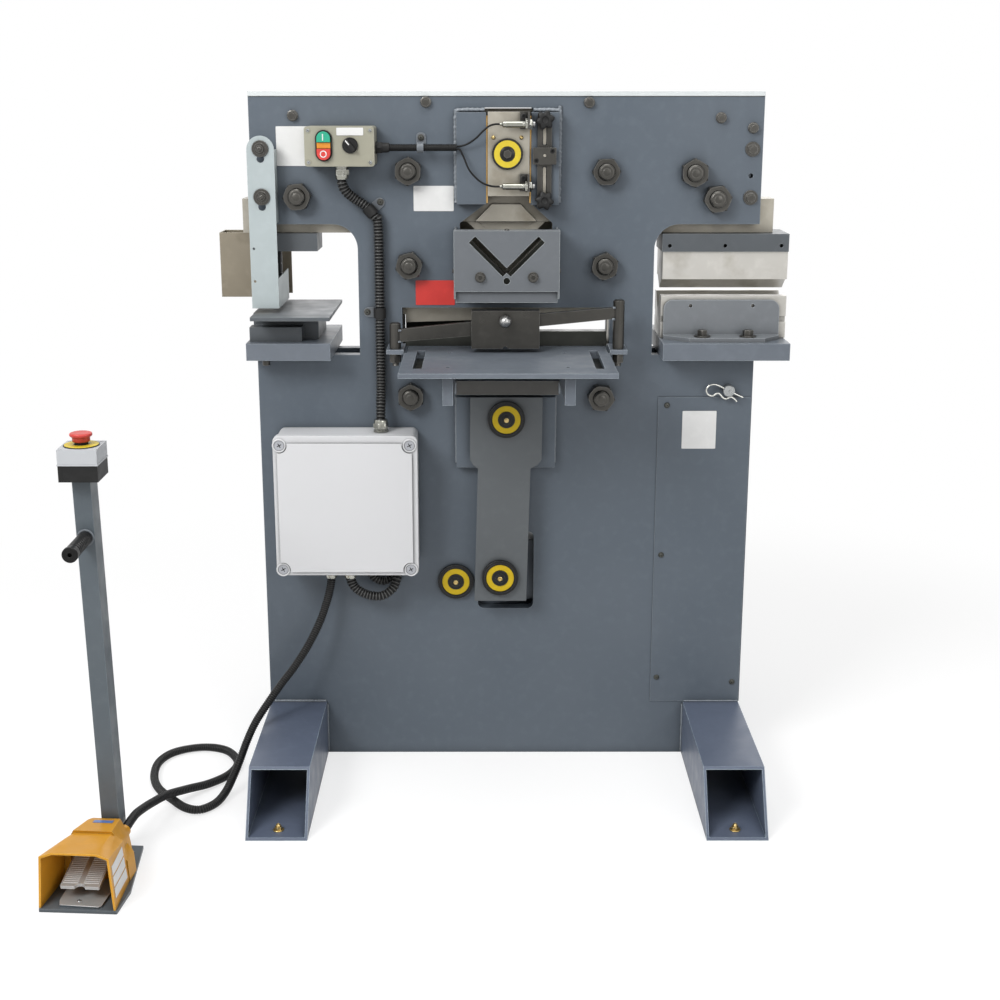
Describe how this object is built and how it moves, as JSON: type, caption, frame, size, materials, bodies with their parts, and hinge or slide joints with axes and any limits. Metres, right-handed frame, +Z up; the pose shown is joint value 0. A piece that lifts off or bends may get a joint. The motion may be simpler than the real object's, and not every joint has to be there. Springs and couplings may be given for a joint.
{
  "type": "hydraulic ironworker",
  "caption": "Upright hydraulic ironworker with punch, angle shear, flat shear and bending stations, lever drive and a separate foot pedal.",
  "frame": {"origin": "middle of the frame on the floor, halfway between the two frame plates and the four floor anchors", "axes": "+X to the operator's right, +Y to the back, +Z up"},
  "size_m": [1.2949, 1.0901, 1.294],
  "materials": {
    "frame_paint": "blue-grey paint, lightly textured",
    "pale_cover": "pale satin paint",
    "dark_steel": "black oxide, oily",
    "raw_steel": "ground steel with mill marks",
    "tool_steel": "ground tool steel",
    "bronze": "rubbed bronze",
    "zinc": "zinc plated",
    "nickel": "nickel plated",
    "guard_steel": "pale silver paint",
    "control_grey": "warm grey moulded plastic",
    "box_white": "white moulded plastic",
    "black_plastic": "black plastic",
    "black_rubber": "black rubber",
    "green_button": "green plastic",
    "red_button": "red plastic",
    "hood_yellow": "yellow paint",
    "treadle_metal": "cast aluminium",
    "motor_paint": "dark blue paint",
    "cap_black": "black enamel"
  },
  "bodies": {
    "frame": {"front_plate": "frame_paint", "rear_plate": "frame_paint", "frame_legs": "frame_paint", "gib_plates": "frame_paint", "angle_guard": "frame_paint", "feed_table": "frame_paint", "front_brackets": "frame_paint", "access_panel": "frame_paint", "bolsters": "frame_paint", "gauge_table": "frame_paint", "die_angle_plate": "frame_paint", "oil_tank": "frame_paint", "station_post": "frame_paint", "cylinder_barrel": "frame_paint", "top_cover": "pale_cover", "tie_studs": "dark_steel", "tie_nuts": "dark_steel", "hex_bolts": "dark_steel", "stop_rail": "dark_steel", "die_holder": "dark_steel", "chip_guard": "raw_steel", "fixed_blades": "tool_steel", "punch_die": "tool_steel", "v_die": "tool_steel", "wear_strips": "bronze", "small_screws": "zinc", "clevis_pin": "zinc", "glands": "nickel", "control_box": "control_grey", "enclosure_base": "box_white", "enclosure_lid": "box_white", "stop_box": "box_white", "pedal_hose": "black_rubber", "box_conduits": "black_rubber", "sensor_cables": "black_rubber", "post_grip": "black_rubber", "pedal_hood": "hood_yellow", "pump_motor": "motor_paint", "pivot_pin": "cap_black"},
    "ram": {"ram_plate": "raw_steel", "guide_block": "raw_steel", "moving_blades": "raw_steel", "tool_holders": "frame_paint", "punch": "tool_steel", "brake_punch": "tool_steel", "sensors": "nickel", "ram_pin": "cap_black"},
    "link_pair": {"links": "frame_paint"},
    "lever": {"rocker_beam": "frame_paint", "rocker_pin": "cap_black"},
    "rod": {"cylinder_rod": "zinc"},
    "guard": {"punch_guard": "guard_steel"},
    "hold_down_arm": {"hold_down": "dark_steel"},
    "start": {"start_button": "green_button"},
    "stop": {"stop_button": "red_button"},
    "selector": {"selector_knob": "black_plastic"},
    "emergency_head": {"estop_head": "red_button"},
    "pedal": {"treadle": "treadle_metal"},
    "upper_stop": {"upper_knob": "dark_steel"},
    "lower_stop": {"lower_knob": "dark_steel"}
  },
  "joints": [
    {"name": "ram_slide", "type": "slide", "parent": "frame", "child": "ram", "axis": [0, 0, -1], "range_m": [0, 0.026], "deforming": ["sensor_cables"]},
    {"name": "link_swing", "type": "hinge", "parent": "ram", "child": "link_pair", "pos_m": [0.001, 0, 0.7004], "axis": [0, 1, 0], "range_deg": [-0.5223, 0]},
    {"name": "lever_swing", "type": "hinge", "parent": "frame", "child": "lever", "pos_m": [-0.0968, 0, 0.3654], "axis": [0, 1, 0], "range_deg": [0, 16.86]},
    {"name": "rod_slide", "type": "slide", "parent": "frame", "child": "rod", "axis": [0, 0, -1], "range_m": [0, 0.15406]},
    {"name": "guard_lift", "type": "slide", "parent": "frame", "child": "guard", "axis": [0, 0, 1], "range_m": [0, 0.016]},
    {"name": "hold_down_lift", "type": "slide", "parent": "frame", "child": "hold_down_arm", "axis": [0, 0, 1], "range_m": [0, 0.012]},
    {"name": "start_press", "type": "slide", "parent": "frame", "child": "start", "axis": [0, 1, 0], "range_m": [0, 0.003], "stiffness_N_per_m": 500, "springref_m": -0.002},
    {"name": "stop_press", "type": "slide", "parent": "frame", "child": "stop", "axis": [0, 1, 0], "range_m": [0, 0.003], "stiffness_N_per_m": 500, "springref_m": -0.002},
    {"name": "selector_turn", "type": "hinge", "parent": "frame", "child": "selector", "pos_m": [-0.28, -0.117, 1.205], "axis": [0, 1, 0], "range_deg": [0, 80]},
    {"name": "emergency_press", "type": "slide", "parent": "frame", "child": "emergency_head", "axis": [0, 0, -1], "range_m": [0, 0.004]},
    {"name": "treadle_press", "type": "hinge", "parent": "frame", "child": "pedal", "pos_m": [-0.69387, -0.52384, 0.049], "axis": [0.9976, -0.0698, 0], "range_deg": [0, 6], "stiffness_Nm_per_rad": 6, "springref_deg": -11.46},
    {"name": "upper_stop_slide", "type": "slide", "parent": "frame", "child": "upper_stop", "axis": [0, 0, -1], "range_m": [0, 0.024]},
    {"name": "lower_stop_slide", "type": "slide", "parent": "frame", "child": "lower_stop", "axis": [0, 0, 1], "range_m": [0, 0.03]}
  ],
  "couplings": [
    {"joint": "link_swing", "follows": "ram_slide", "rad_per_m": -0.35025},
    {"joint": "lever_swing", "follows": "ram_slide", "rad_per_m": 11.317},
    {"joint": "rod_slide", "follows": "ram_slide", "ratio": 5.9255}
  ]
}
